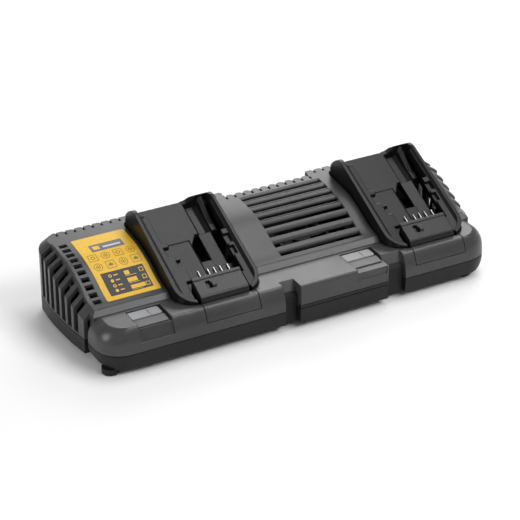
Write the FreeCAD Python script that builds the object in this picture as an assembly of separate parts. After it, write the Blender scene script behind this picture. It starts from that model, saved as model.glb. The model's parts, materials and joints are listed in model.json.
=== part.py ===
import FreeCAD, Part
import os
import math

os.makedirs("parts", exist_ok=True)
V = FreeCAD.Vector

# ---------------------------------------------------------------- driving dimensions, mm
# Lengths are measured from the centre of the front left foot, on the ground:
# X to the right, Y to the rear, Z up. Every solid is moved by ORIGIN when it is saved,
# which puts the row origin under the middle of the casing.
ORIGIN = V(-181.5, -57.0, 0.0)
MID_X = 181.5            # middle of the casing
FOOT_H = 6.0             # underside of the casing above the ground
FOOT_R = 7.5
PARTING_Z = 20.0         # joint between the lower and the upper housing
BLOCK_PART_Z = 23.3      # the same joint on the front block
PLATFORM_Z = 42.0
STEP_Y = 24.7            # front of the arched top
REAR_Y = 129.1
FRONT_Y = -15.1
WALL = 3.0
SLOPE = 0.474            # rise of the docks per mm to the rear
DOCK_PITCH = 207.3
DOCK_X = 107.75          # middle of the left dock
LED_X = (23.0, 23.0 + 207.5)
ARCH = [(24.7, 46.7), (32, 47.9), (43.5, 52), (53, 56.9), (62.4, 61), (72, 64.3),
        (82, 66.6), (92, 67.9), (106, 69.1), (125.5, 70)]
END_WALL = [(-10.0, 20), (-11.0, 34), (-12.4, 44), (-13.5, 58), (-14.1, 72), (-14.3, 82), (-13.9, 94), (-12.6, 108)]
SLOT_PITCH = 10.8
SLOT_W = 6.8
FLUTE_PITCH = 8.7
SCREWS = [(12, 8), (165, 8), (268, 8), (12, 104), (165, 104), (364, 84)]
FAN = (221.0, 70.0)
FAN_Z = (27.0, 40.0)
KEYHOLES = [(56.5, 105.0), (306.5, 105.0)]
FEET = {"foot_front_left": (0, 0, 1.5), "foot_front_mid_left": (167, 3.0, 3.0), "foot_front_mid_right": (271.6, 3.0, 3.0),
        "foot_front_right": (350, 0, 1.5), "foot_rear_left": (8, 112, 112), "foot_rear_right": (355, 112, 112)}   # X, Y, Y of the peg


# ---------------------------------------------------------------- helpers
def box(x0, x1, y0, y1, z0, z1):
    return Part.makeBox(x1 - x0, y1 - y0, z1 - z0, V(x0, y0, z0))


def cyl(x, y, z0, z1, r):
    return Part.makeCylinder(r, z1 - z0, V(x, y, z0))


def ycyl(x, y0, y1, z, r):
    return Part.makeCylinder(r, y1 - y0, V(x, y0, z), V(0, 1, 0))


def xcyl(x0, x1, y, z, r):
    return Part.makeCylinder(r, x1 - x0, V(x0, y, z), V(1, 0, 0))


def face(points):
    return Part.Face(Part.makePolygon(points + [points[0]]))


def yz_prism(points, x0, x1):
    return face([V(x0, y, z) for y, z in points]).extrude(V(x1 - x0, 0, 0))


def xz_prism(points, y0, y1):
    return face([V(x, y0, z) for x, z in points]).extrude(V(0, y1 - y0, 0))


def xy_prism(points, z0, z1):
    return face([V(x, y, z0) for x, y in points]).extrude(V(0, 0, z1 - z0))


def ramp(points, y0, y1):
    """A prism along the dock's slope. Its section is given as (X, height of the slope at Y = 0)."""
    return face([V(x, y0, c + SLOPE * y0) for x, c in points]).extrude(V(0, y1 - y0, SLOPE * (y1 - y0)))


def rect(x0, x1, c0, c1):
    return [(x0, c0), (x1, c0), (x1, c1), (x0, c1)]


def spline_edge(points):
    curve = Part.BSplineCurve()
    curve.interpolate(points)
    return curve.toShape()


def fused(shapes):
    return shapes[0].fuse(shapes[1:]) if len(shapes) > 1 else shapes[0]


def mirror_x(shape):
    return shape.mirror(V(MID_X, 0, 0), V(1, 0, 0))


def corner_plan(x0, x1, y0, y1, r0, r1, z):
    """A rounded rectangle as a wire: r0 at the front corners, r1 at the rear corners."""
    k = math.sqrt(0.5)
    edges = [
        Part.makeLine(V(x0 + r0, y0, z), V(x1 - r0, y0, z)),
        Part.Arc(V(x1 - r0, y0, z), V(x1 - r0 + r0 * k, y0 + r0 - r0 * k, z), V(x1, y0 + r0, z)).toShape(),
        Part.makeLine(V(x1, y0 + r0, z), V(x1, y1 - r1, z)),
        Part.Arc(V(x1, y1 - r1, z), V(x1 - r1 + r1 * k, y1 - r1 + r1 * k, z), V(x1 - r1, y1, z)).toShape(),
        Part.makeLine(V(x1 - r1, y1, z), V(x0 + r1, y1, z)),
        Part.Arc(V(x0 + r1, y1, z), V(x0 + r1 - r1 * k, y1 - r1 + r1 * k, z), V(x0, y1 - r1, z)).toShape(),
        Part.makeLine(V(x0, y1 - r1, z), V(x0, y0 + r0, z)),
        Part.Arc(V(x0, y0 + r0, z), V(x0 + r0 - r0 * k, y0 + r0 - r0 * k, z), V(x0 + r0, y0, z)).toShape(),
    ]
    return Part.Wire(edges)


def plan_prism(x0, x1, y0, y1, r0, r1, z0, z1):
    return Part.Face(corner_plan(x0, x1, y0, y1, r0, r1, z0)).extrude(V(0, 0, z1 - z0))


def bulged_plan(inset, z0, z1, y0=20.0):
    """The casing's plan behind the front platform: bulged end walls and round rear corners."""
    side = [V(x + inset, y, z0) for x, y in END_WALL]
    side[0] = V(side[0].x, y0, z0)
    last = side[-1]
    rear = REAR_Y - inset
    corner = [V(last.x, last.y, z0), V(last.x + 4.2, last.y + 13.4 - inset * 0.8, z0), V(last.x + 17.5, rear, z0)]
    other = lambda p: V(2 * MID_X - p.x, p.y, p.z)
    arc = Part.Arc(corner[0], corner[1], corner[2]).toShape()
    arc2 = Part.Arc(other(corner[2]), other(corner[1]), other(corner[0])).toShape()
    wire = Part.Wire([spline_edge(side), arc, Part.makeLine(corner[2], other(corner[2])), arc2,
                      spline_edge([other(p) for p in reversed(side)]), Part.makeLine(other(side[0]), side[0])])
    return Part.Face(wire).extrude(V(0, 0, z1 - z0))


def arch_prism(dz, y0, y1, bottom, x0, x1, rear=None):
    """A prism under the arched top, lowered by dz."""
    pts = [V(x0, y, z + dz) for y, z in ARCH]
    top = spline_edge(pts)
    rear = rear or [(128.3, 67.0 + dz), (129.1, 60)]
    back = [pts[-1]] + [V(x0, y, z) for y, z in rear] + [V(x0, rear[-1][0], bottom), V(x0, pts[0].y, bottom), pts[0]]
    solid = Part.Face(Part.Wire([top] + Part.makePolygon(back).Edges)).extrude(V(x1 - x0, 0, 0))
    keep = box(x0 - 1, x1 + 1, y0, y1, bottom, 120)
    return solid.common(keep)


def arch_z(y):
    for (ya, za), (yb, zb) in zip(ARCH, ARCH[1:]):
        if y <= yb:
            return za + (zb - za) * (y - ya) / (yb - ya)
    return 70.0


def end_wedge(shift, drop):
    """What the slanted shoulder takes off the left end, carried round the rear corner."""
    wires = []

    def section(point, ra, za, rb, zb):
        dr, dz = ra - rb, zb - za
        a, b = point(ra + dr), point(rb - 0.6 * dr)
        zlo, zhi = za - dz, zb + 0.6 * dz
        pts = [V(a[0], a[1], zlo), V(b[0], b[1], zhi), V(b[0], b[1], zhi + 30), V(a[0], a[1], zhi + 30)]
        wires.append(Part.makePolygon(pts + [pts[0]]))

    cx, cy = 5.5, 108.5
    for y in (15.0, 30.0, 45.0, 60.0, 75.0, 88.0, 98.0, 108.5):
        zb = 34.0 + 0.41 * (min(y, 88.0) - 26.0) + 0.10 * max(0.0, y - 88.0) - drop
        section(lambda r, y=y: (cx - r, y), cx + 13.6 - shift, zb, cx + 1.5 - shift, arch_z(y) - drop)
    za0, zb0 = 34.0 + 0.41 * 62.0 + 2.05 - drop, arch_z(108.5) - drop
    for k in range(1, 7):
        t = k / 6.0
        phi = math.radians(180.0 - 90.0 * t)
        ra = (19.1 - shift) * (1 - t) + (20.4 - shift) * t
        rb = (7.0 - shift) * (1 - t) + (16.6 - shift) * t
        section(lambda r, phi=phi: (cx + r * math.cos(phi), cy + r * math.sin(phi)), ra, za0 * (1 - t) + (66.2 - drop) * t, rb,
                zb0 * (1 - t) + (70.3 - drop) * t)
    return Part.makeLoft(wires, True, True)


# ---------------------------------------------------------------- casing, outside
BUMPER = [(6.0, -4.8, -12.6, 19.0), (8.0, -6.9, -13.1, 21.0), (12.0, -8.9, -13.4, 22.5), (20.0, -9.7, -13.6, 23.5),
          (27.0, -9.6, -13.0, 23.5), (32.0, -8.6, -11.8, 22.5), (36.0, -6.6, -10.1, 21.0), (39.0, -3.9, -8.5, 19.0),
          (41.0, -0.9, -7.2, 17.0), (42.0, 1.8, -6.2, 15.0)]   # height, left end, front, corner radius


def left_bumper_solid(x1):
    wires = [corner_plan(xl, 220, yf, 60, r, 5.0, z) for z, xl, yf, r in BUMPER]
    return Part.makeLoft(wires, True, False).common(box(-30, x1, -30, 27, 0, 60))


rear_mass = arch_prism(0, STEP_Y, 140, FOOT_H, -20, 383)
riser = yz_prism([(20.4, FOOT_H), (20.4, PLATFORM_Z), (24.6, 46.5), (25.2, 46.78), (25.2, FOOT_H)], -4.4, 367.4)
rear_mass = rear_mass.fuse(riser).common(bulged_plan(0, 0, 120))
wedge = end_wedge(0, 0)
rear_mass = rear_mass.cut([wedge, mirror_x(wedge)])
platform = yz_prism([(27.0, FOOT_H), (27.0, PLATFORM_Z), (-6.2, PLATFORM_Z), (-6.2, FOOT_H)], 20, 345)
left_bumper = left_bumper_solid(160.0)
right_bumper = mirror_x(left_bumper_solid(2 * MID_X - 281.0))
block = yz_prism([(20, FOOT_H), (20, PLATFORM_Z), (-13.6, PLATFORM_Z), (-14.7, 41.2), (FRONT_Y, 39.8), (FRONT_Y, FOOT_H)], 173.9, 262.0)
outside = fused([rear_mass, platform, left_bumper, right_bumper, block])
# grooves between the ends' ribs and the bumpers
outside = outside.cut([box(-20, -4.6, 21.8, 27.8, 0, 80), box(367.6, 383, 21.8, 27.8, 0, 80)])
# the two upright grooves beside the front block, with a slanted top
for gx0, gx1 in ((160.0, 173.9), (262.0, 281.0)):
    outside = outside.cut(yz_prism([(-20, 0), (-5.6, 0), (-5.6, 34.0), (0.5, 42.5), (-20, 42.5)], gx0, gx1))
# the rear middle is set forward
outside = outside.cut(box(170, 256, 118.2, 140, 0, 100))

# ---------------------------------------------------------------- casing, inside
room = arch_prism(-WALL, 27.7, 119.2, FOOT_H + WALL, -20, 383, rear=[(128.3, 60), (129.1, 40)]).common(bulged_plan(3.8, 0, 120, 26.0))
inner_wedge = end_wedge(3.2, 2.6)
room = room.cut([inner_wedge, mirror_x(inner_wedge)]).cut(box(166.5, 259.5, 110.5, 140, 0, 100))
room_rear_mid = fused([box(166.6, 259.4, 100, 114.4, FOOT_H + WALL, 29.0), box(166.6, 259.4, 100, 111.2, 28.9, 63.5)])
front_room = plan_prism(-3.0, 366.0, -9.6, 40, 16.0, 2.0, FOOT_H + WALL, 34.5).common(
    yz_prism([(29, 0), (29, 34.5), (-6.0, 34.5), (-9.4, 27), (-9.6, 0)], -20, 383))
front_top = box(5.0, 358.0, -3.4, 29, 34.4, 37.5).fuse(box(355.0, 363.4, 12.0, 29, 34.4, 37.5))
for gx0, gx1 in ((160.0, 173.9), (262.0, 281.0)):
    front_room = front_room.cut(box(gx0 - 2.6, gx1 + 2.6, -20, -3.0, 0, 60))
    front_top = front_top.cut(box(gx0 - 2.6, gx1 + 2.6, -20, 3.2, 0, 60))
inside = fused([room, room_rear_mid, front_room, front_top])
skin = outside
shell = outside.cut(inside)

# ---------------------------------------------------------------- split, bosses, openings
low_zone = fused([box(-30, 400, -30, 140, 0, PARTING_Z), box(173.9, 262.0, -20, -11.0, 10, BLOCK_PART_Z)])
lower = shell.common(low_zone)
upper = shell.cut(low_zone)
# the lower half steps in a little, which draws the dark parting line
line_cut = box(-30, 400, -30, 140, PARTING_Z - 0.7, PARTING_Z).cut(
    plan_prism(-9.0, 372.0, -12.9, 150, 22.8, 1.0, 0, 60))
lower = lower.cut(line_cut).cut(box(173, 263, -20, -14.6, BLOCK_PART_Z - 0.6, BLOCK_PART_Z))

lower_add, lower_cut, upper_add, upper_cut = [], [], [], []
for sx, sy in SCREWS:
    lower_add.append(cyl(sx, sy, FOOT_H + 1, PARTING_Z, 4.6))
    lower_cut += [cyl(sx, sy, FOOT_H - 1, 11.0, 3.4), cyl(sx, sy, 10, 21, 1.9)]
    roof = 39.0 if sy < 20 else 60.0
    upper_add.append(cyl(sx, sy, PARTING_Z, roof, 4.0))
    upper_cut.append(cyl(sx, sy, PARTING_Z - 1, 31.0, 1.5))
# board posts and fan posts
BOARD_Z = (14.0, 15.6)
BOARD_POSTS = [(26, 21), (26, 92), (185, 21), (343, 24), (343, 92), (150, 92)]
for px, py in BOARD_POSTS:
    lower_add.append(cyl(px, py, FOOT_H + 1, BOARD_Z[0], 3.2))
    lower_cut.append(cyl(px, py, FOOT_H + 1.5, BOARD_Z[0] + 1, 1.2))
FAN_POSTS = [(FAN[0] + sx * 20.0, FAN[1] + sy * 20.0) for sx in (-1, 1) for sy in (-1, 1)]
for px, py in FAN_POSTS:
    lower_add.append(cyl(px, py, FOOT_H + 1, FAN_Z[0], 3.0))
    lower_cut.append(cyl(px, py, 17, FAN_Z[0] + 1, 1.2))
for fx, fy, py in FEET.values():
    lower_add.append(cyl(fx, py, FOOT_H, FOOT_H + WALL + 2.0, 5.0).common(skin))
    lower_cut.append(cyl(fx, py, FOOT_H - 1, FOOT_H + 3.5, 2.2))
for kx, ky in KEYHOLES:
    lower_cut += [cyl(kx, ky, 0, 12, 4.5), box(kx - 2.1, kx + 2.1, ky - 10.5, ky, 0, 12), cyl(kx, ky - 10.5, 0, 12, 2.1)]
# cord inlet, clamped between the two halves
CORD = (213.0, 20.0)
lower_cut.append(ycyl(CORD[0], 110, 125, CORD[1], 6.6))
upper_cut.append(ycyl(CORD[0], 110, 125, CORD[1], 6.6))
# intake slits in the floor, below the board
for i in range(9):
    lower_cut.append(box(150 + 7 * i, 153 + 7 * i, 40, 66, 0, 12))

lower = lower.fuse(lower_add).cut(lower_cut)

# bosses stop at the casing's skin
upper_add = [b.common(inside) for b in upper_add]
upper = upper.fuse([b for b in upper_add if b.Volume > 1])

# end slots
for i in range(7):
    yc = 105.2 - SLOT_PITCH * i
    slot = box(-20, -2.6, yc - SLOT_W / 2, yc + SLOT_W / 2, 21.5, 100)
    upper_cut += [slot, mirror_x(slot)]
# small vent column beside the label
for i in range(10):
    yc = 34.0 + 7.55 * i
    upper_cut.append(box(1.8, 9.2, yc - 2.4, yc + 2.4, 40, 80))
# louvre field between the docks
LOUVRES = [33.8, 44.2, 54.4, 64.2, 74.0, 84.2, 94.6, 105.0]
for yc in LOUVRES:
    z = arch_z
    upper_cut.append(yz_prism([(yc - 2.4, z(yc) - 8), (yc + 2.4, z(yc) - 8), (yc + 2.4, z(yc + 2.4) - 1.9), (yc + 3.0, z(yc + 3.0) - 1.0),
                               (yc + 4.1, z(yc + 4.1) + 0.1), (yc + 4.1, z(yc) + 6), (yc - 3.3, z(yc) + 6), (yc - 3.3, z(yc - 3.3) + 0.1),
                               (yc - 2.4, z(yc - 2.4) - 0.9)], 180, 262))
for ya, yb in zip(LOUVRES[3:], LOUVRES[4:]):
    ym = (ya + yb) / 2 + 0.4
    upper_cut.append(box(180, 262, ym - 0.45, ym + 0.45, arch_z(ym) - 1.3, arch_z(ym) + 3))
# scalloped rear ridge: half-round upright ribs
for xa, xb, yc in ((8.0, 170.0, 121.9), (170.0, 256.0, 113.8), (256.0, 355.0, 121.9)):
    n = int(round((xb - xa) / FLUTE_PITCH))
    step = (xb - xa) / n
    band = box(xa, xb, yc, 140, 28 if yc > 120 else 31.5, 90).cut([cyl(xa + step * (k + 0.5), yc, 20, 95, 4.42) for k in range(n)])
    upper_cut.append(band)
    # the valleys run a little way into the roof
    upper_cut += [box(xa + step * k - 0.9, xa + step * k + 0.9, yc - 2.6, yc + 1.0, 67.4 if yc > 120 else 66.6, 90) for k in range(n + 1)]
# windows
for lx in LED_X:
    upper_cut.append(box(lx, lx + 31.6, -8.8, 17.0, 38.6, 60))
    upper_cut.append(box(lx, lx + 31.6, -20, -5.0, 38.6, 60))
    upper_cut.append(box(lx + 29.5, lx + 31.0, -4.0, 17.0, 33.0, 60))
slide = yz_prism([(-7.4, 38.6), (-11.7, 27.6), (-20, 30), (-20, 50), (-6, 50)], LED_X[0], LED_X[0] + 31.6)
upper_cut.append(slide)
upper_cut.append(box(LED_X[1], LED_X[1] + 30.0, -20, FRONT_Y + 0.9, 31.5, 50))


# thin lines of the inset panels on the bumpers, carried back over the platform to the docks
def panel_lines(x0, x1):
    lines = []
    w, d = 0.7, 0.7
    for xa, xb in ((x0, x0 + w), (x1 - w, x1)):
        lines.append(yz_prism([(-5.0, 42.5), (-5.0, 41.0), (-6.6, 41.0), (-11.2, 29.0), (-15, 29.0), (-15, 43)], xa, xb).cut(
            yz_prism([(-5.0, 42.5), (-5.0, 42.0), (-15, 20)], xa - 1, xb + 1)))
        lines.append(box(xa, xb, -6.5, 2.0, PLATFORM_Z - d, 43))
    lines.append(box(x0, x1, -14, -11.2, 29.0, 29.0 + w))
    return lines


for px in (84.5, 84.5 + DOCK_PITCH):
    upper_cut += panel_lines(px, px + 52.5)

# fine grooves along the riser's top and foot
upper_cut.append(box(-4.0, 367.0, 25.2, 25.8, 45.9, 48))
upper_cut.append(box(-4.0, 367.0, 19.9, 20.5, 41.4, 43))
# dock apertures
for n in range(2):
    dx = DOCK_X + DOCK_PITCH * n
    upper_cut.append(plan_prism(dx - 40.6, dx + 40.6, -1.4, 118.5, 19.4, 10.4, 30, 110))
upper = upper.cut(upper_cut)

# keep clear of the aperture: screw holes of the docks go into the roof from below
DOCK_SCREWS = []
for n in range(2):
    dx = DOCK_X + DOCK_PITCH * n
    for side in (-1, 1):
        DOCK_SCREWS.append((dx + side * 44.4, 20.0, 34.9, 37.4, 41.0))
        DOCK_SCREWS.append((dx + side * 44.4, 99.0, 62.0, 64.4, 67.4))
upper = upper.cut([cyl(sx, sy, za + 0.1, zt, 1.2) for sx, sy, zb, za, zt in DOCK_SCREWS])
upper = max(upper.Solids, key=lambda s: s.Volume)
lower = max(lower.Solids, key=lambda s: s.Volume)

parts = {"upper_housing": upper, "lower_housing": lower}

# ---------------------------------------------------------------- docks, drawn for the left one
FLOOR, RIM = 32.0, 44.6
w0 = corner_plan(DOCK_X - 40.25, DOCK_X + 40.25, -1.0, 118.1, 19.0, 10.0, 34.0)
w1 = corner_plan(DOCK_X - 38.6, DOCK_X + 38.6, -0.4, 117.9, 18.0, 9.0, 95.0)
dock = Part.makeLoft([w0, w1], True, True)
under = [(-3, 35.0), (26, 35.0), (27.5, 38.0), (43.5, 44.6), (53, 49.4), (62.4, 53.4), (72, 56.6), (82, 58.9), (92, 60.2), (122, 61.6)]
curve = spline_edge([V(0, 90.0, RIM + SLOPE * 90), V(0, 94.0, 88.6), V(0, 98.5, 88.4), V(0, 103.5, 86.0), V(0, 109, 81.2), V(0, 114.3, 74.4), V(0, 119, 66)])
line = [V(0, 119, 66), V(0, 122, 61.6)] + [V(0, y, z) for y, z in reversed(under[:-1])] + [V(0, -3, RIM - 3 * SLOPE), V(0, 90.0, RIM + SLOPE * 90)]
side_profile = Part.Face(Part.Wire([curve] + Part.makePolygon(line).Edges)).extrude(V(200, 0, 0))
dock = dock.common(side_profile)
X = DOCK_X - 107.75
# rear lip at the right, rising to the wall, and the ridge in front of it
lip = ramp([(X + 118.5, 31.9), (X + 123.5, 32.7), (X + 129.5, 35.4), (X + 135.0, 39.8), (X + 139.5, 43.2), (X + 144.0, 44.4), (X + 146.0, 44.4),
            (X + 146.0, 28.0), (X + 118.5, 28.0)], 102.2, 105.5).common(side_profile).common(Part.makeLoft([w0, w1], True, True))
ridge = Part.makeLoft([Part.makePolygon([V(X + 133.2, y, 27.0 + SLOPE * y), V(X + 133.2, y, c - 2.2 + SLOPE * y), V(X + 134.2, y, c - 0.5 + SLOPE * y),
                                         V(X + 135.9, y, c + SLOPE * y), V(X + 137.6, y, c - 0.5 + SLOPE * y), V(X + 138.5, y, c - 2.2 + SLOPE * y),
                                         V(X + 138.5, y, 27.0 + SLOPE * y), V(X + 133.2, y, 27.0 + SLOPE * y)]) for y, c in ((73.0, 31.0), (100.0, 38.4))], True, True)
cuts = [
    # channel: wide below the ledges, narrower between them
    ramp(rect(X + 74.6, X + 142.2, FLOOR, 38.6), 22.0, 130),
    ramp(rect(X + 79.6, X + 141.0, FLOOR, 70), 61.0, 130),
    ramp(rect(X + 84.4, X + 136.2, FLOOR, 70), 44.5, 62.0),
    ramp(rect(X + 88.4, X + 136.2, FLOOR, 70), 18.6, 45.0),
    # the ledges' tops lie a little under the rim
    ramp([(X + 90.0, 42.0), (X + 74.6, 42.4), (X + 72.0, 44.0), (X + 71.6, 70), (X + 144.4, 70), (X + 144.0, 44.0), (X + 141.4, 42.4), (X + 130.0, 42.0)], 18.0, 130),
    ramp(rect(X + 73.0, X + 142.9, FLOOR, 70), 91.0, 130),
    # trimmed rear end of the floor
    yz_prism([(105, FLOOR + SLOPE * 105), (117.2, 66.5), (130, 66.5), (130, 110), (105, 110)], X + 72.6, X + 142.9),
    # hollow under the floor
    yz_prism([(18.5, 37.0), (18.5, 20), (113, 20), (113, 63.5), (102.4, 76.6)], X + 70.6, X + 119.0),
    yz_prism([(20.5, 33.5), (20.5, 20), (113, 20), (113, 61.5), (101.4, 71.0)], X + 118.9, X + 144.9),
    # floor details: step, pit, trough, deep right side
    ramp(rect(X + 84.4, X + 108.9, FLOOR - 0.9, 34), 22.0, 68.0),
    xy_prism([(X + 109.4, 45.0), (X + 120.0, 45.0), (X + 120.0, 72.0), (X + 116.5, 72.0), (X + 109.0, 62.5)], 20, 75).common(ramp(rect(X + 100, X + 130, 10, 34), 40, 80)),
    ramp([(X + 119.8, 33), (X + 119.8, 28.6), (X + 123.0, 26.8), (X + 129.0, 26.8), (X + 133.4, 29.0), (X + 133.4, 33)], 72.0, 102.4),
    ramp(rect(X + 138.4, X + 142.2, 20, 33), 60.0, 97.5),
    ramp([(X + 120.0, 33), (X + 120.0, 30.2), (X + 131.6, 30.8), (X + 131.6, 33)], 38.0, 72.1),
    ramp(rect(X + 131.6, X + 142.2, 20, 33), 38.0, 62.0),
    ramp(rect(X + 131.6, X + 138.5, 20, 33), 61.0, 72.0),
    # notches in the ledges
    ramp(rect(X + 78.6, X + 85.0, 36.0, 60), 47.5, 57.5), ramp(rect(X + 83.6, X + 89.0, 38.9, 60), 35.0, 43.5),
    ramp(rect(X + 136.0, X + 141.6, 39.4, 60), 47.5, 56.5), ramp(rect(X + 136.0, X + 140.0, 39.4, 60), 36.0, 44.5),
    # bay of the terminal block, open at the front above the bevel's foot
    box(X + 82.8, X + 134.4, 1.6, 22.5, 38.5, 100), box(X + 82.8, X + 134.4, -3, 3, 42.5, 100),
    box(X + 82.8, X + 85.8, -3, 19.0, 30.0, 45), box(X + 131.4, X + 134.4, -3, 19.0, 30.0, 45),
]
dock = dock.cut(cuts)
# front panels beside the bay slope down behind a thin rim
front_panels = ramp([(X + 86.0, 42.0), (X + 74.6, 42.4), (X + 72.0, 44.0), (X + 71.6, 70), (X + 144.6, 70), (X + 144.0, 44.0), (X + 141.4, 42.4), (X + 132.0, 42.0)], -5.0, 23.0).common(
    plan_prism(X + 71.6, X + 144.1, 1.4, 60, 17.0, 2.0, 30, 110))
dock = dock.cut(front_panels)
pips = [Part.makeSphere(1.7, V(px, 90.4, 41.2 + SLOPE * 90.4)) for px in (X + 75.6, X + 143.0)]
dock = dock.fuse([lip, ridge] + pips)
ears = []
for side in (-1, 1):
    ex = DOCK_X + side * 44.4
    for y0, y1, zb, zt in ((16.4, 23.6, 34.9, 37.4), (95.4, 102.6, 62.0, 64.4)):
        ears.append(box(min(DOCK_X + side * 39.2, ex + side * 3.6), max(DOCK_X + side * 39.2, ex + side * 3.6), y0, y1, zb, zt))
dock = dock.fuse(ears)
dock = dock.cut([cyl(DOCK_X + s * 44.4, y, 30, 70, 1.5) for s in (-1, 1) for y in (20.0, 99.0)])
dock = max(dock.Solids, key=lambda s: s.Volume)

# ---------------------------------------------------------------- terminal block, blades, terminal board
TOP = 47.5
bx0, bx1 = X + 85.8, X + 131.4
term = yz_prism([(2.0, 38.5), (2.0, 42.7), (-0.9, 42.7), (-0.5, 44.6), (0.3, 46.6), (1.6, 48.25), (15.2, TOP + SLOPE * 15.2),
                 (15.5, TOP + 0.9 + SLOPE * 15.5), (18.0, TOP + 0.7 + SLOPE * 18.0), (18.5, TOP - 1 + SLOPE * 18.0), (18.5, 38.5)], bx0, bx1)
term = term.cut(ramp(rect(X + 96.0, X + 100.3, TOP - 3.0, 70), 6.6, 13.6))
term = term.fuse(ramp(rect(X + 100.3, X + 104.1, TOP - 1, TOP + 2.3), 6.4, 10.2))
blades = []
for bx, tall in ((97.0, 1), (102.4, 0), (106.2, 1), (112.0, 1), (118.0, 1), (125.0, 1)):
    y1, top = (29.5, 42.8) if tall else (25.5, 41.4)
    pts = [(12.0, 41.0), (12.0, top + SLOPE * 12.0 - 1.0), (13.0, top + SLOPE * 13.0), (y1 - 1.2, top + SLOPE * (y1 - 1.2)), (y1, top - 1.2 + SLOPE * y1),
           (y1, top - 4.2 + SLOPE * y1), (18.5, top - 4.2 + SLOPE * 18.5), (18.5, 41.0)]
    blades.append(yz_prism(pts, X + bx - 0.3, X + bx + 0.3))
tails = [box(X + bx - 0.3, X + bx + 0.3, 12.0, 14.0, 30.0, 41.0) for bx in (97.0, 102.4, 106.2, 112.0, 118.0, 125.0)]
blades = [b.fuse(t).removeSplitter() for b, t in zip(blades, tails)]
term = term.cut(blades)
dock = dock.cut([box(X + bx - 0.9, X + bx + 0.9, 11.4, 14.6, 20.0, 38.6) for bx in (97.0, 102.4, 106.2, 112.0, 118.0, 125.0)])
board = box(X + 92, X + 130, 6.0, 19.0, 30.6, 32.2).cut([box(X + bx - 0.5, X + bx + 0.5, 11.8, 14.2, 28, 34) for bx in (97.0, 102.4, 106.2, 112.0, 118.0, 125.0)])
for n, side in enumerate(("left", "right")):
    move = V(DOCK_PITCH * n, 0, 0)
    for name, shape in (("dock", dock), ("terminal_block", term), ("terminal_blades", Part.Compound(blades)), ("terminal_board", board)):
        s = shape.copy()
        s.translate(move)
        parts[side + "_" + name] = s

# ---------------------------------------------------------------- windows and label
for lx, side in zip(LED_X, ("left", "right")):
    lens = box(lx + 0.5, lx + 28.8, 4.3, 16.0, 38.6, 41.5)
    lens = lens.makeFillet(2.4, [e for e in lens.Edges if abs(e.BoundBox.ZLength - 2.9) < 0.01 and e.BoundBox.Center.x > lx + 20])
    lens = lens.makeFillet(0.5, [e for e in lens.Edges if e.BoundBox.ZMin > 41.4])
    lens = lens.cut(box(lx + 17.8, lx + 18.3, 0, 20, 41.0, 43))
    parts[side + "_indicator_lens"] = lens
    parts[side + "_indicator_plate"] = yz_prism([(-6.0, 38.6), (-6.0, 39.6), (3.9, 40.4), (3.9, 38.6)], lx + 1.2, lx + 29.4)
lab_pts = [p for p in ARCH]
hi, lo = [V(14, y, z + 0.26) for y, z in lab_pts], [V(14, y, z + 0.03) for y, z in lab_pts]
lab = Part.Face(Part.Wire([spline_edge(hi), Part.makeLine(hi[-1], lo[-1]), spline_edge(lo), Part.makeLine(lo[0], hi[0])])).extrude(V(50, 0, 0))
lab_plan = plan_prism(14.0, 64.0, 31.0, 106.0, 1.5, 1.5, 30, 90)
parts["info_label"] = lab.common(lab_plan)

# ---------------------------------------------------------------- feet, gland
for name, (fx, fy, py) in FEET.items():
    r = 5.5 if "mid" in name else FOOT_R
    foot = cyl(fx, fy, 0, FOOT_H - 0.02, r)
    foot = foot.makeChamfer(0.8, [e for e in foot.Edges if e.BoundBox.ZMax < 0.01])
    foot = foot.fuse(cyl(fx, py, FOOT_H - 1, FOOT_H + 3.3, 2.15))
    if "mid" in name:      # an upright rubber strip fills the back of the groove
        gx = (160.3, 173.6) if "left" in name else (262.3, 280.7)
        foot = foot.fuse([yz_prism([(-8.2, FOOT_H - 1.2), (-8.2, 30.0), (-5.75, 33.4), (-5.75, FOOT_H - 1.2)], gx[0], gx[1]),
                          box(fx - 4.0, fx + 4.0, -8.0, fy, FOOT_H - 1.2, FOOT_H - 0.02)])
    parts[name] = foot.removeSplitter()
gland = fused([ycyl(CORD[0], 112.0, 122.0, CORD[1], 6.6), ycyl(CORD[0], 118.2, 120.6, CORD[1], 8.2), ycyl(CORD[0], 112.0, 114.4, CORD[1], 8.2)])
gland = gland.cut(ycyl(CORD[0], 105, 130, CORD[1], 3.6)).removeSplitter()
parts["cord_gland"] = gland

# ---------------------------------------------------------------- main board and what stands on it
pcb = box(20, 349, 16, 98, BOARD_Z[0], BOARD_Z[1])
pcb = pcb.cut([cyl(px, py, 0, 30, 1.5) for px, py in BOARD_POSTS] + [cyl(px, py, 0, 30, 3.6) for px, py in FAN_POSTS]
              + [cyl(364, 84, 0, 30, 16)])
parts["main_circuit_board"] = pcb
b = BOARD_Z[1]
core = fused([box(38, 78, 44, 52, b, b + 22), box(38, 78, 76, 84, b, b + 22), box(52, 64, 52, 76, b, b + 22)])
parts["transformer_core"] = core.removeSplitter()
winding = box(43, 73, 52.3, 75.7, b + 2, b + 20)
parts["transformer_winding"] = winding.cut(box(51.9, 64.1, 52, 76, b, b + 22))
parts["bulk_capacitors"] = Part.Compound([cyl(x, y, b, b + h, 8.0) for x, y, h in ((104, 64, 22), (124, 64, 22))])
choke = cyl(94, 88, b, b + 12, 7.4).cut(cyl(94, 88, b + 0, b + 13, 3.0))
parts["mains_filter_choke"] = choke
parts["fuse"] = fused([xcyl(110, 130, 86, b + 3.4, 2.6), box(110, 113, 83.6, 88.4, b, b + 4), box(127, 130, 83.6, 88.4, b, b + 4)]).removeSplitter()
heat = fused([box(140, 178, 66, 69, b, b + 26)] + [box(140 + 6 * i, 141.6 + 6 * i, 58, 66.5, b, b + 26) for i in range(7)]).removeSplitter()
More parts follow.
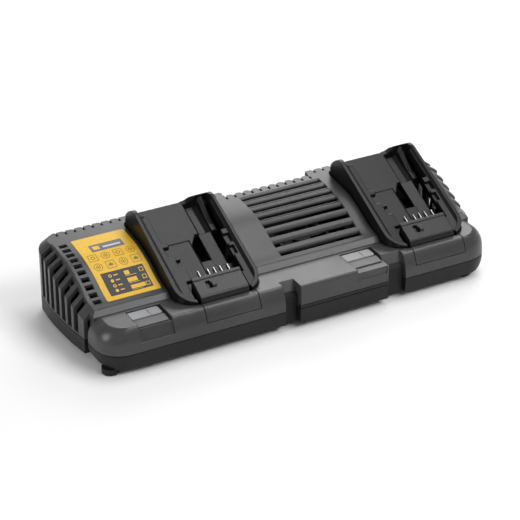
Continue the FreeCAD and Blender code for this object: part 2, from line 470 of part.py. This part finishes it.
parts["primary_heatsink"] = heat
heat2 = heat.copy()
heat2.translate(V(130, 4, -4))
heat2 = heat2.common(box(200, 400, 0, 140, b, 80))
parts["secondary_heatsink"] = heat2
parts["power_relays"] = Part.Compound([box(x, x + 15, 44, 60, b, b + 13) for x in (292, 314)])
parts["output_capacitors"] = Part.Compound([cyl(x, 80, b, b + 20, 5.0) for x in (268, 322, 334)])
parts["status_leds"] = Part.Compound([cyl(lx + 15, 18.5, b, b + 5, 2.4) for lx in LED_X])

# ---------------------------------------------------------------- fan
fx, fy = FAN
z0, z1 = FAN_Z
frame = plan_prism(fx - 25, fx + 25, fy - 25, fy + 25, 4, 4, z0, z1).cut(cyl(fx, fy, z0 - 1, z1 + 1, 23.4))
frame = frame.fuse([box(fx - 24, fx + 24, fy - 1.5, fy + 1.5, z0, z0 + 2.0), box(fx - 1.5, fx + 1.5, fy - 24, fy + 24, z0, z0 + 2.0),
                    cyl(fx, fy, z0, z0 + 2.0, 10.0), cyl(fx, fy, z0, z1 - 2.5, 2.0)]).removeSplitter()
frame = frame.cut([cyl(px, py, z0 - 1, z1 + 1, 1.7) for px, py in FAN_POSTS])
parts["fan_frame"] = frame
hub = cyl(fx, fy, z0 + 2.8, z1 - 1.0, 9.5)
fan_blades = []
for i in range(7):
    blade = Part.makeBox(14.0, 1.2, 9.6, V(8.4, -0.6, -4.8))
    blade.rotate(V(0, 0, 0), V(1, 0, 0), 42)
    blade.translate(V(0, 0, z0 + 7.6))
    blade.rotate(V(0, 0, 0), V(0, 0, 1), i * 360.0 / 7)
    blade.translate(V(fx, fy, 0))
    fan_blades.append(blade)
rotor = hub.fuse(fan_blades).cut(cyl(fx, fy, z0, z1 - 2.4, 2.05)).removeSplitter()
parts["fan_rotor"] = rotor


# ---------------------------------------------------------------- fasteners
def screw(x, y, head_z, tip_z, r, head_r, head_h):
    """head_z is the seat of the head; the shank runs from there to tip_z."""
    up = tip_z > head_z
    head = cyl(x, y, head_z - head_h, head_z, head_r) if up else cyl(x, y, head_z, head_z + head_h, head_r)
    shank = cyl(x, y, min(head_z, tip_z), max(head_z, tip_z), r)
    cross = head_z - head_h if up else head_z + head_h - 1.0
    drive = fused([box(x - head_r * 0.6, x + head_r * 0.6, y - 0.4, y + 0.4, cross, cross + 1.0),
                   box(x - 0.4, x + 0.4, y - head_r * 0.6, y + head_r * 0.6, cross, cross + 1.0)])
    return head.fuse(shank).cut(drive).removeSplitter()


parts["housing_screws"] = Part.Compound([screw(x, y, 11.0, 30.0, 1.5, 3.0, 2.4) for x, y in SCREWS])
parts["dock_screws"] = Part.Compound([screw(x, y, zb, zt - 0.2, 1.2, 2.6, 1.8) for x, y, zb, za, zt in DOCK_SCREWS])
parts["board_screws"] = Part.Compound([screw(x, y, BOARD_Z[1], FOOT_H + 2.2, 1.2, 2.6, 1.8) for x, y in BOARD_POSTS])
parts["fan_screws"] = Part.Compound([screw(x, y, z1, 17.4, 1.2, 2.6, 1.8) for x, y in FAN_POSTS])

# ---------------------------------------------------------------- save
for name, shape in parts.items():
    s = shape.copy()
    s.translate(ORIGIN)
    solids = s.Solids
    if len(solids) == 1:
        s = solids[0]
    ok = s.isValid()
    bb = s.BoundBox
    print("%-24s solids %d valid %s vol %.0f box %.1f..%.1f %.1f..%.1f %.1f..%.1f" % (
        name, len(solids), ok, s.Volume, bb.XMin, bb.XMax, bb.YMin, bb.YMax, bb.ZMin, bb.ZMax))
    s.exportStep("parts/%s.step" % name)
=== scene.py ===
import json
import math

import bmesh
import bpy
from mathutils import Matrix, Vector
from mathutils.bvhtree import BVHTree


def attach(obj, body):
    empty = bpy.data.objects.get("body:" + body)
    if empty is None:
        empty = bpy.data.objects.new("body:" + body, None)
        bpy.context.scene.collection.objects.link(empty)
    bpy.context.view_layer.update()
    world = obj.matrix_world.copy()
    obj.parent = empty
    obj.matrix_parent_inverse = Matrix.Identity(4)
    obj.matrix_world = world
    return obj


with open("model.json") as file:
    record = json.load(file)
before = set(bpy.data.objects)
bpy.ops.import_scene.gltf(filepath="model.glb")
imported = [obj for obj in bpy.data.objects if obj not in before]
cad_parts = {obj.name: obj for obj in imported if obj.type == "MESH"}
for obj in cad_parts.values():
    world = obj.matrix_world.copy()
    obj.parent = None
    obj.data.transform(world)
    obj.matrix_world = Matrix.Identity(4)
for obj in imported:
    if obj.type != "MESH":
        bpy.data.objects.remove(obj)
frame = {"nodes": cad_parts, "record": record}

MM = 0.001
OX, OY = -181.5, -57.0      # the drawing is measured from the front left foot, as the CAD is
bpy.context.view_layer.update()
nodes = frame["nodes"]


def P(x, y, z):
    return Vector(((x + OX) * MM, (y + OY) * MM, z * MM))


# ------------------------------------------------------------------ materials
def new_material(name):
    m = bpy.data.materials.new(name)
    m.use_nodes = True
    nt = m.node_tree
    nt.nodes.clear()
    out = nt.nodes.new("ShaderNodeOutputMaterial")
    b = nt.nodes.new("ShaderNodeBsdfPrincipled")
    nt.links.new(b.outputs["BSDF"], out.inputs["Surface"])
    return m, nt, b


def noise(nt, coord, scale, detail=2.0, rough=0.5):
    n = nt.nodes.new("ShaderNodeTexNoise")
    n.inputs["Scale"].default_value = scale
    n.inputs["Detail"].default_value = detail
    n.inputs["Roughness"].default_value = rough
    nt.links.new(coord, n.inputs["Vector"])
    return n


def ramp(nt, fac, stops):
    r = nt.nodes.new("ShaderNodeValToRGB")
    while len(r.color_ramp.elements) < len(stops):
        r.color_ramp.elements.new(0.5)
    for e, (p, c) in zip(r.color_ramp.elements, stops):
        e.position = p
        e.color = (*c, 1.0)
    nt.links.new(fac, r.inputs["Fac"])
    return r


def value_range(nt, fac, lo, hi, in_lo=0.3, in_hi=0.7):
    m = nt.nodes.new("ShaderNodeMapRange")
    m.inputs["From Min"].default_value = in_lo
    m.inputs["From Max"].default_value = in_hi
    m.inputs["To Min"].default_value = lo
    m.inputs["To Max"].default_value = hi
    nt.links.new(fac, m.inputs["Value"])
    return m


def moulded(name, dark, light, rough=(0.42, 0.54), grain=1500.0, depth=0.02, edge=0.35, spec=0.5, coat=0.0):
    """Moulded plastic: fine spark-eroded grain, slow tone variation, slightly softened edges."""
    m, nt, b = new_material(name)
    coord = nt.nodes.new("ShaderNodeTexCoord").outputs["Object"]
    slow = noise(nt, coord, 26.0, 3.0)
    fine = noise(nt, coord, grain, 2.0, 0.6)
    specks = noise(nt, coord, 420.0, 2.0, 0.55)
    colour = ramp(nt, slow.outputs["Fac"], [(0.32, dark), (0.70, light)])
    tint = nt.nodes.new("ShaderNodeMix")
    tint.data_type = "RGBA"
    tint.blend_type = "MULTIPLY"
    tint.inputs["Factor"].default_value = 0.35
    nt.links.new(colour.outputs["Color"], tint.inputs["A"])
    speck_ramp = ramp(nt, specks.outputs["Fac"], [(0.35, (0.72, 0.72, 0.72)), (0.62, (1.0, 1.0, 1.0))])
    nt.links.new(speck_ramp.outputs["Color"], tint.inputs["B"])
    nt.links.new(tint.outputs["Result"], b.inputs["Base Color"])
    r = value_range(nt, specks.outputs["Fac"], rough[0], rough[1])
    nt.links.new(r.outputs["Result"], b.inputs["Roughness"])
    bump = nt.nodes.new("ShaderNodeBump")
    bump.inputs["Strength"].default_value = 0.5
    bump.inputs["Distance"].default_value = depth * MM
    nt.links.new(fine.outputs["Fac"], bump.inputs["Height"])
    if edge:
        bevel = nt.nodes.new("ShaderNodeBevel")
        bevel.samples = 6
        bevel.inputs["Radius"].default_value = edge * MM
        nt.links.new(bevel.outputs["Normal"], bump.inputs["Normal"])
    nt.links.new(bump.outputs["Normal"], b.inputs["Normal"])
    b.inputs["Specular IOR Level"].default_value = spec
    if coat:
        b.inputs["Coat Weight"].default_value = coat
        b.inputs["Coat Roughness"].default_value = 0.25
    return m


def metal(name, dark, light, rough=(0.22, 0.38), streak=(60.0, 1600.0, 60.0)):
    m, nt, b = new_material(name)
    tc = nt.nodes.new("ShaderNodeTexCoord")
    mp = nt.nodes.new("ShaderNodeMapping")
    mp.inputs["Scale"].default_value = streak
    nt.links.new(tc.outputs["Object"], mp.inputs["Vector"])
    n = noise(nt, mp.outputs["Vector"], 1.0, 3.0)
    c = ramp(nt, n.outputs["Fac"], [(0.3, dark), (0.7, light)])
    nt.links.new(c.outputs["Color"], b.inputs["Base Color"])
    r = value_range(nt, n.outputs["Fac"], rough[0], rough[1])
    nt.links.new(r.outputs["Result"], b.inputs["Roughness"])
    bump = nt.nodes.new("ShaderNodeBump")
    bump.inputs["Strength"].default_value = 0.3
    bump.inputs["Distance"].default_value = 0.01 * MM
    nt.links.new(n.outputs["Fac"], bump.inputs["Height"])
    nt.links.new(bump.outputs["Normal"], b.inputs["Normal"])
    b.inputs["Metallic"].default_value = 1.0
    return m


def g(v):
    return (v, v, v * 1.02)


MAT = {
    "housing_charcoal": moulded("housing_charcoal", g(0.040), g(0.050), (0.31, 0.38), 1500, 0.03, 0.9, 0.42),
    # housing_base is darker than housing_charcoal partly as the lower housing's own plastic and partly as painted
    # shade: its low albedo darkens the lower faces to stand in for the bounce light they lack
    "housing_base": moulded("housing_base", g(0.013), g(0.017), (0.38, 0.46), 1500, 0.03, 0.6, 0.22),
    "dock_black": moulded("dock_black", g(0.005), g(0.008), (0.28, 0.35), 1700, 0.012, 0.9, 0.26),
    "terminal_housing": moulded("terminal_housing", g(0.009), g(0.012), (0.30, 0.37), 1700, 0.012, 0.9, 0.36),
    "terminal_metal": metal("terminal_metal", (0.40, 0.40, 0.41), (0.56, 0.56, 0.57), (0.34, 0.46)),
    "lens_grey": moulded("lens_grey", (0.25, 0.255, 0.265), (0.29, 0.295, 0.305), (0.42, 0.48), 2400, 0.004, 0.5, 0.4),
    "plate_grey": moulded("plate_grey", g(0.085), g(0.10), (0.35, 0.45), 2000, 0.006, 0.2),
    "label_yellow": moulded("label_yellow", (0.74, 0.44, 0.026), (0.80, 0.49, 0.034), (0.36, 0.44), 1100, 0.003, 0.0, 0.28),
    "label_dark": moulded("label_dark", (0.030, 0.031, 0.035), (0.040, 0.041, 0.045), (0.36, 0.44), 1100, 0.003, 0.0, 0.28),
    "label_grey": moulded("label_grey", (0.12, 0.125, 0.14), (0.14, 0.145, 0.16), (0.36, 0.44), 1100, 0.003, 0.0, 0.28),
    "label_pale": moulded("label_pale", (0.52, 0.52, 0.50), (0.60, 0.60, 0.58), (0.36, 0.44), 1100, 0.003, 0.0, 0.28),
    "label_brown": moulded("label_brown", (0.24, 0.15, 0.02), (0.29, 0.18, 0.028), (0.36, 0.44), 1100, 0.003, 0.0, 0.28),
    "foot_rubber": moulded("foot_rubber", g(0.012), g(0.016), (0.5, 0.62), 700, 0.04, 0.4, 0.22),
    "gland_rubber": moulded("gland_rubber", g(0.012), g(0.016), (0.55, 0.7), 700, 0.04, 0.3, 0.35),
    "board_green": moulded("board_green", (0.010, 0.060, 0.028), (0.016, 0.085, 0.040), (0.3, 0.4), 300, 0.02, 0.0),
    "ferrite": moulded("ferrite", g(0.03), g(0.05), (0.55, 0.7), 500, 0.05, 0.2),
    "winding_tape": moulded("winding_tape", (0.55, 0.33, 0.04), (0.65, 0.42, 0.07), (0.25, 0.35), 200, 0.03, 0.3),
    "capacitor_can": moulded("capacitor_can", (0.012, 0.014, 0.03), (0.02, 0.024, 0.05), (0.2, 0.3), 300, 0.01, 0.4),
    "choke_core": moulded("choke_core", (0.02, 0.12, 0.08), (0.03, 0.16, 0.11), (0.4, 0.5), 400, 0.03, 0.4),
    "fuse_body": moulded("fuse_body", (0.6, 0.6, 0.56), (0.68, 0.68, 0.63), (0.3, 0.4), 400, 0.01, 0.2),
    "heatsink_metal": metal("heatsink_metal", (0.45, 0.46, 0.47), (0.56, 0.57, 0.58), (0.35, 0.5)),
    "relay_case": moulded("relay_case", (0.02, 0.03, 0.12), (0.03, 0.045, 0.17), (0.3, 0.4), 500, 0.01, 0.3),
    "led_epoxy": moulded("led_epoxy", (0.45, 0.03, 0.02), (0.55, 0.05, 0.03), (0.1, 0.2), 300, 0.005, 0.0),
    "fan_plastic": moulded("fan_plastic", g(0.012), g(0.017), (0.4, 0.5), 900, 0.01, 0.3),
    "screw_steel": metal("screw_steel", (0.36, 0.36, 0.37), (0.48, 0.48, 0.49), (0.3, 0.45)),
    "screw_black": metal("screw_black", (0.035, 0.035, 0.036), (0.05, 0.05, 0.052), (0.35, 0.5)),
}

slots = {s["node"]: s["material_slot"] for s in frame["record"]["subparts"]}
for name, obj in nodes.items():
    mat = MAT[slots[name]]
    if not obj.material_slots:
        obj.data.materials.append(mat)
    for ms in obj.material_slots:
        ms.material = mat


# ------------------------------------------------------------------ printed label, laid on the label's own surface
def tree_of(obj):
    bm = bmesh.new()
    bm.from_mesh(obj.data)
    bm.transform(obj.matrix_world)
    t = BVHTree.FromBMesh(bm)
    bm.free()
    return t


label_tree = tree_of(nodes["info_label"])


def on_label(x, y):
    hit = label_tree.ray_cast(P(x, y, 120), Vector((0, 0, -1)))
    return hit[0].z if hit[0] else None


LABEL_X, LABEL_Y = (14.0, 64.0), (31.0, 106.0)


def add_patch(bm, x0, x1, y0, y1, lift):
    """A thin closed plate over a rectangle of the label, following its curve."""
    nx, ny = max(1, int((x1 - x0) / 8)), max(1, int((y1 - y0) / 1.5))
    top, low = [], []
    for j in range(ny + 1):
        y = y0 + (y1 - y0) * j / ny
        for i in range(nx + 1):
            x = x0 + (x1 - x0) * i / nx
            z = on_label(x, y)
            top.append(bm.verts.new((P(x, y, 0).x, P(x, y, 0).y, z + lift * MM)))
            low.append(bm.verts.new((P(x, y, 0).x, P(x, y, 0).y, z - 0.02 * MM)))
    w = nx + 1
    for j in range(ny):
        for i in range(nx):
            a = j * w + i
            bm.faces.new((top[a], top[a + 1], top[a + 1 + w], top[a + w]))
            bm.faces.new((low[a], low[a + w], low[a + 1 + w], low[a + 1]))
    for i in range(nx):
        bm.faces.new((top[i + 1], top[i], low[i], low[i + 1]))
        a = ny * w + i
        bm.faces.new((top[a], top[a + 1], low[a + 1], low[a]))
    for j in range(ny):
        a = j * w
        bm.faces.new((top[a], top[a + w], low[a + w], low[a]))
        a = j * w + nx
        bm.faces.new((top[a + w], top[a], low[a], low[a + w]))


def add_disc(bm, x, y, r, lift, inner=0.0, n=20):
    """A thin closed disc or ring on the label."""
    def ring(radius, dz):
        out = []
        for k in range(n):
            a = 2 * math.pi * k / n
            px, py = x + radius * math.cos(a), y + radius * math.sin(a)
            out.append(bm.verts.new((P(px, py, 0).x, P(px, py, 0).y, on_label(px, py) + dz * MM)))
        return out
    t, l = ring(r, lift), ring(r, -0.02)
    if inner:
        ti, li = ring(inner, lift), ring(inner, -0.02)
        for k in range(n):
            q = (k + 1) % n
            bm.faces.new((t[k], t[q], ti[q], ti[k]))
            bm.faces.new((l[q], l[k], li[k], li[q]))
            bm.faces.new((t[q], t[k], l[k], l[q]))
            bm.faces.new((ti[k], ti[q], li[q], li[k]))
    else:
        bm.faces.new(t)
        bm.faces.new(list(reversed(l)))
        for k in range(n):
            q = (k + 1) % n
            bm.faces.new((t[q], t[k], l[k], l[q]))


def finish_piece(bm, name, mat, body="charger"):
    me = bpy.data.meshes.new(name)
    bmesh.ops.recalc_face_normals(bm, faces=bm.faces)
    bm.to_mesh(me)
    bm.free()
    o = bpy.data.objects.new(name, me)
    bpy.context.scene.collection.objects.link(o)
    me.materials.append(mat)
    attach(o, body)
    return o


T = 0.05
dark, grey, pale, yellow = bmesh.new(), bmesh.new(), bmesh.new(), bmesh.new()
# grey field near the top, with two pale bars and a yellow one
add_patch(grey, 24.5, 55.0, 83.0, 93.0, T)
add_patch(pale, 36.0, 52.5, 86.2, 88.4, T + 0.04)
add_patch(yellow, 27.0, 33.0, 85.5, 90.5, T + 0.04)


# rows of small generic marks in outlined squares
def frame_square(bm, cx, cy, s, w, lift):
    add_patch(bm, cx - s, cx + s, cy + s - w, cy + s, lift)
    add_patch(bm, cx - s, cx + s, cy - s, cy - s + w, lift)
    add_patch(bm, cx - s, cx - s + w, cy - s + w, cy + s - w, lift)
    add_patch(bm, cx + s - w, cx + s, cy - s + w, cy + s - w, lift)


brown = bmesh.new()
for i, cx in enumerate((21.5, 33.2, 44.9, 56.6)):
    for j, cy in enumerate((76.0, 65.0)):
        if (i + j) % 2 == 0:
            frame_square(brown, cx, cy, 4.1, 0.55, T)
            if j == 0:
                add_disc(brown, cx, cy, 2.0, T, 1.3)
            else:
                add_patch(brown, cx - 2.0, cx + 2.0, cy - 1.4, cy + 1.0, T)
                add_patch(brown, cx - 0.8, cx + 0.8, cy + 1.0, cy + 1.9, T)
        else:
            add_disc(brown, cx, cy, 4.0, T, 3.45)
            add_patch(brown, cx - 0.4, cx + 0.4, cy - 2.2, cy + 2.2, T)
            add_patch(brown, cx + 1.1, cx + 1.9, cy - 1.4, cy + 1.4, T)
            add_patch(brown, cx - 1.9, cx - 1.1, cy - 1.4, cy + 1.4, T)
# dark panel with charge bars at the right and a column of dots at the left
add_patch(dark, 19.5, 59.0, 35.5, 58.0, T)
for k, cy in enumerate((53.5, 46.6, 39.7)):
    add_patch(yellow, 40.0, 44.6 + 4.2 * k, cy - 1.9, cy + 1.9, T + 0.04)
    frame_square(yellow, 55.6, cy, 1.9, 0.5, T + 0.04)
    add_patch(yellow, 40.0, 50.0, cy - 3.0, cy - 2.6, T + 0.04)
for k, cy in enumerate((54.0, 49.3, 44.6, 39.9)):
    add_disc(yellow, 27.0, cy, 1.5, T + 0.04, 0.0 if k % 2 else 0.8)
    add_patch(yellow, 30.2, 34.0, cy - 0.5, cy + 0.5, T + 0.04)
finish_piece(dark, "label_dark_print", MAT["label_dark"])
finish_piece(grey, "label_grey_print", MAT["label_grey"])
finish_piece(pale, "label_pale_print", MAT["label_pale"])
finish_piece(yellow, "label_yellow_print", MAT["label_yellow"])
finish_piece(brown, "label_mark_print", MAT["label_brown"])

# ------------------------------------------------------------------ floor, light, camera
fb = bmesh.new()
S, R, H = 3.0, 0.6, 2.4
prof = [(-2.2, 0.0), (1.6, 0.0)]
for k in range(1, 13):
    a = math.pi / 2 * k / 12
    prof.append((1.6 + R * math.sin(a), R - R * math.cos(a)))
prof.append((1.6 + R, H))
rows = []
for sx in (-S, S):
    rows.append([fb.verts.new((sx, y, z)) for y, z in prof])
for k in range(len(prof) - 1):
    fb.faces.new((rows[0][k], rows[1][k], rows[1][k + 1], rows[0][k + 1]))
fm = bpy.data.meshes.new("studio_floor")
fb.to_mesh(fm)
fb.free()
floor = bpy.data.objects.new("studio_floor", fm)
bpy.context.scene.collection.objects.link(floor)
for p in fm.polygons:
    p.use_smooth = True
m, nt, b = new_material("studio_floor")
coord = nt.nodes.new("ShaderNodeTexCoord").outputs["Object"]
n = noise(nt, coord, 2.0, 2.0)
c = ramp(nt, n.outputs["Fac"], [(0.3, (0.88, 0.88, 0.88)), (0.7, (0.90, 0.90, 0.90))])
nt.links.new(c.outputs["Color"], b.inputs["Base Color"])
b.inputs["Roughness"].default_value = 0.9
b.inputs["Specular IOR Level"].default_value = 0.1
fm.materials.append(m)


def area(name, loc, target, size, size_y, power):
    d = bpy.data.lights.new(name, "AREA")
    d.shape = "RECTANGLE"
    d.size, d.size_y, d.energy = size, size_y, power
    o = bpy.data.objects.new(name, d)
    bpy.context.scene.collection.objects.link(o)
    o.location = loc
    o.rotation_euler = (Vector(target) - Vector(loc)).to_track_quat("-Z", "Y").to_euler()
    return o


area("back_softbox", (1.10, 1.45, 1.10), (0.05, 0.0, 0.05), 1.3, 0.8, 15.0)
area("top_softbox", (0.60, 0.20, 1.65), (0.0, 0.0, 0.05), 1.0, 0.8, 11.5)
area("front_bevel", (0.70, -0.95, 1.30), (0.0, -0.02, 0.04), 1.4, 0.35, 15.0)
area("left_fill", (-1.65, -0.15, 0.66), (-0.1, 0.0, 0.05), 0.5, 0.6, 10.0)

world = bpy.data.worlds.new("studio")
world.use_nodes = True
bg = world.node_tree.nodes["Background"]
bg.inputs["Color"].default_value = (1.0, 1.0, 1.0, 1.0)
bg.inputs["Strength"].default_value = 0.27
bpy.context.scene.world = world
bpy.context.scene.view_settings.view_transform = "Standard"
bpy.context.scene.view_settings.look = "None"

cam_data = bpy.data.cameras.new("photo_camera")
cam_data.sensor_width = 36.0
cam_data.lens = 36.0 * 2033.0 / 520.0
cam_data.clip_end = 20.0
cam = bpy.data.objects.new("photo_camera", cam_data)
bpy.context.scene.collection.objects.link(cam)
right = Vector((0.8771, -0.4802, 0.0)).normalized()
back = Vector((-0.4200, -0.7672, 0.4848)).normalized()
up = back.cross(right)
rot = Matrix((right, up, back)).transposed().to_4x4()
cam.matrix_world = Matrix.Translation(Vector((-0.76163, -1.37586, 0.9023))) @ rot
bpy.context.scene.camera = cam
